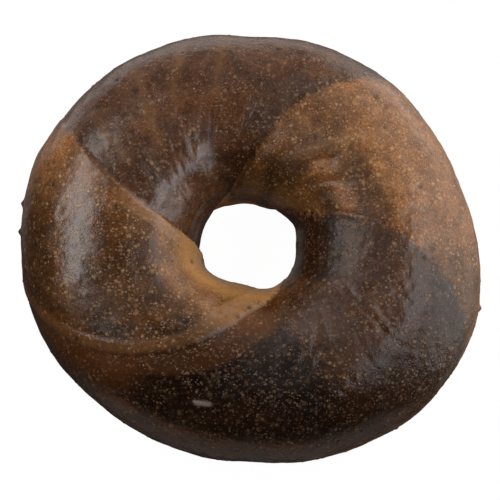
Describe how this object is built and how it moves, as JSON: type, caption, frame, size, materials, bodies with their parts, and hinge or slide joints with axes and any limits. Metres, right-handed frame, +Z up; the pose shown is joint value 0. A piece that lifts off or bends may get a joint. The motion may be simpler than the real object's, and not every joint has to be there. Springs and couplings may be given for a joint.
{
  "type": "bagel",
  "caption": "Marbled dark and light bagel: a round ring of twisted dough with a hole in the middle and a flat base, boiled and baked as one piece.",
  "frame": {"origin": "the middle of the bagel's box, on the surface that it lies on", "axes": "+Z up through the hole; +Y away from the viewer, towards the side where the dark dough crosses the back; +X to the viewer's right"},
  "size_m": [0.111, 0.1046, 0.0387],
  "materials": {
    "crust": "glossy dark and light brown marbled bread crust with fine pale blisters"
  },
  "bodies": {
    "root": {"bagel": "crust"}
  },
  "joints": []
}
